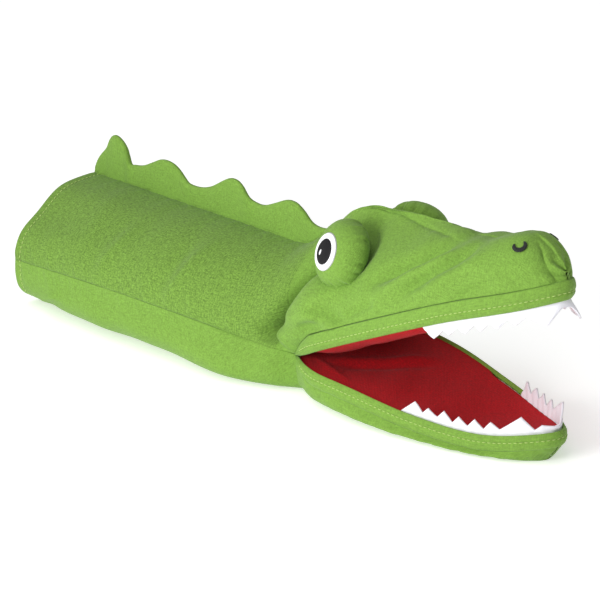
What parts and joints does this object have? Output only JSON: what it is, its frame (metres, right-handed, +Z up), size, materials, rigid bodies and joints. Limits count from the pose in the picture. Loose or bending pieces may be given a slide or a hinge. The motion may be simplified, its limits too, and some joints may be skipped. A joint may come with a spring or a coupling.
{
  "type": "moving mouth hand puppet",
  "caption": "Cloth crocodile hand puppet: open sleeve with a wavy crest, stuffed head with side eyes, and a hinged mouth with felt teeth.",
  "frame": {"origin": "on the floor under the middle of the puppet's length and width", "axes": "+X towards the snout, +Y to the puppet's left, +Z up"},
  "size_m": [0.4091, 0.134, 0.1265],
  "materials": {
    "green_cotton": "plain-woven cotton, light grass green",
    "back_cotton": "plain-woven cotton, grass green",
    "red_cotton": "plain-woven cotton, dark red",
    "white_felt": "pressed felt, white",
    "black_cloth": "smooth black cloth",
    "black_thread": "black embroidery thread",
    "wadding": "polyester wadding",
    "lining": "unbleached cotton",
    "board": "bendy plastic sheet"
  },
  "bodies": {
    "sleeve": {"back_panel_left": "back_cotton", "back_panel_right": "back_cotton", "belly_panel": "green_cotton", "cuff_hem": "green_cotton", "crest_cloth_left": "green_cotton", "crest_cloth_right": "green_cotton", "crest_wadding": "wadding"},
    "neck": {"neck_bend_cloth": "back_cotton", "neck_back_left": "back_cotton", "neck_back_right": "back_cotton", "neck_belly": "green_cotton", "throat_fold": "red_cotton", "front_crest": "green_cotton", "nape_cloth": "green_cotton", "throat_cloth": "green_cotton"},
    "upper_jaw": {"head_side_left": "green_cotton", "head_side_right": "green_cotton", "head_top_gusset": "green_cotton", "upper_lip_band": "green_cotton", "palate_lining": "red_cotton", "upper_mouth_board": "board", "upper_jaw_pad": "wadding", "finger_pocket": "lining", "snout_stuffing": "wadding", "crown_padding": "wadding", "upper_teeth": "white_felt", "eye_cover_left": "green_cotton", "eye_cover_right": "green_cotton", "eye_stuffing_left": "wadding", "eye_stuffing_right": "wadding", "eye_white_left": "white_felt", "eye_white_right": "white_felt", "pupil_left": "black_cloth", "pupil_right": "black_cloth", "nostril_left": "black_thread", "nostril_right": "black_thread"},
    "lower_jaw": {"chin_panel": "green_cotton", "lower_lip_band": "green_cotton", "floor_lining": "red_cotton", "lower_mouth_board": "board", "lower_jaw_pad": "wadding", "thumb_pocket": "lining", "lower_teeth": "white_felt"}
  },
  "joints": [
    {"name": "neck_turn", "type": "hinge", "parent": "sleeve", "child": "neck", "pos_m": [-0.048, 0, 0.037], "axis": [0, 0, 1], "range_deg": [-20, 20], "deforming": ["neck_bend_cloth"]},
    {"name": "upper_jaw_hinge", "type": "hinge", "parent": "neck", "child": "upper_jaw", "pos_m": [0.031, 0, 0.024], "axis": [0, 1, 0], "range_deg": [-20, 11], "deforming": ["nape_cloth"]},
    {"name": "lower_jaw_hinge", "type": "hinge", "parent": "neck", "child": "lower_jaw", "pos_m": [0.031, 0, 0.024], "axis": [0, 1, 0], "range_deg": [-8, 15], "deforming": ["throat_cloth"]}
  ]
}
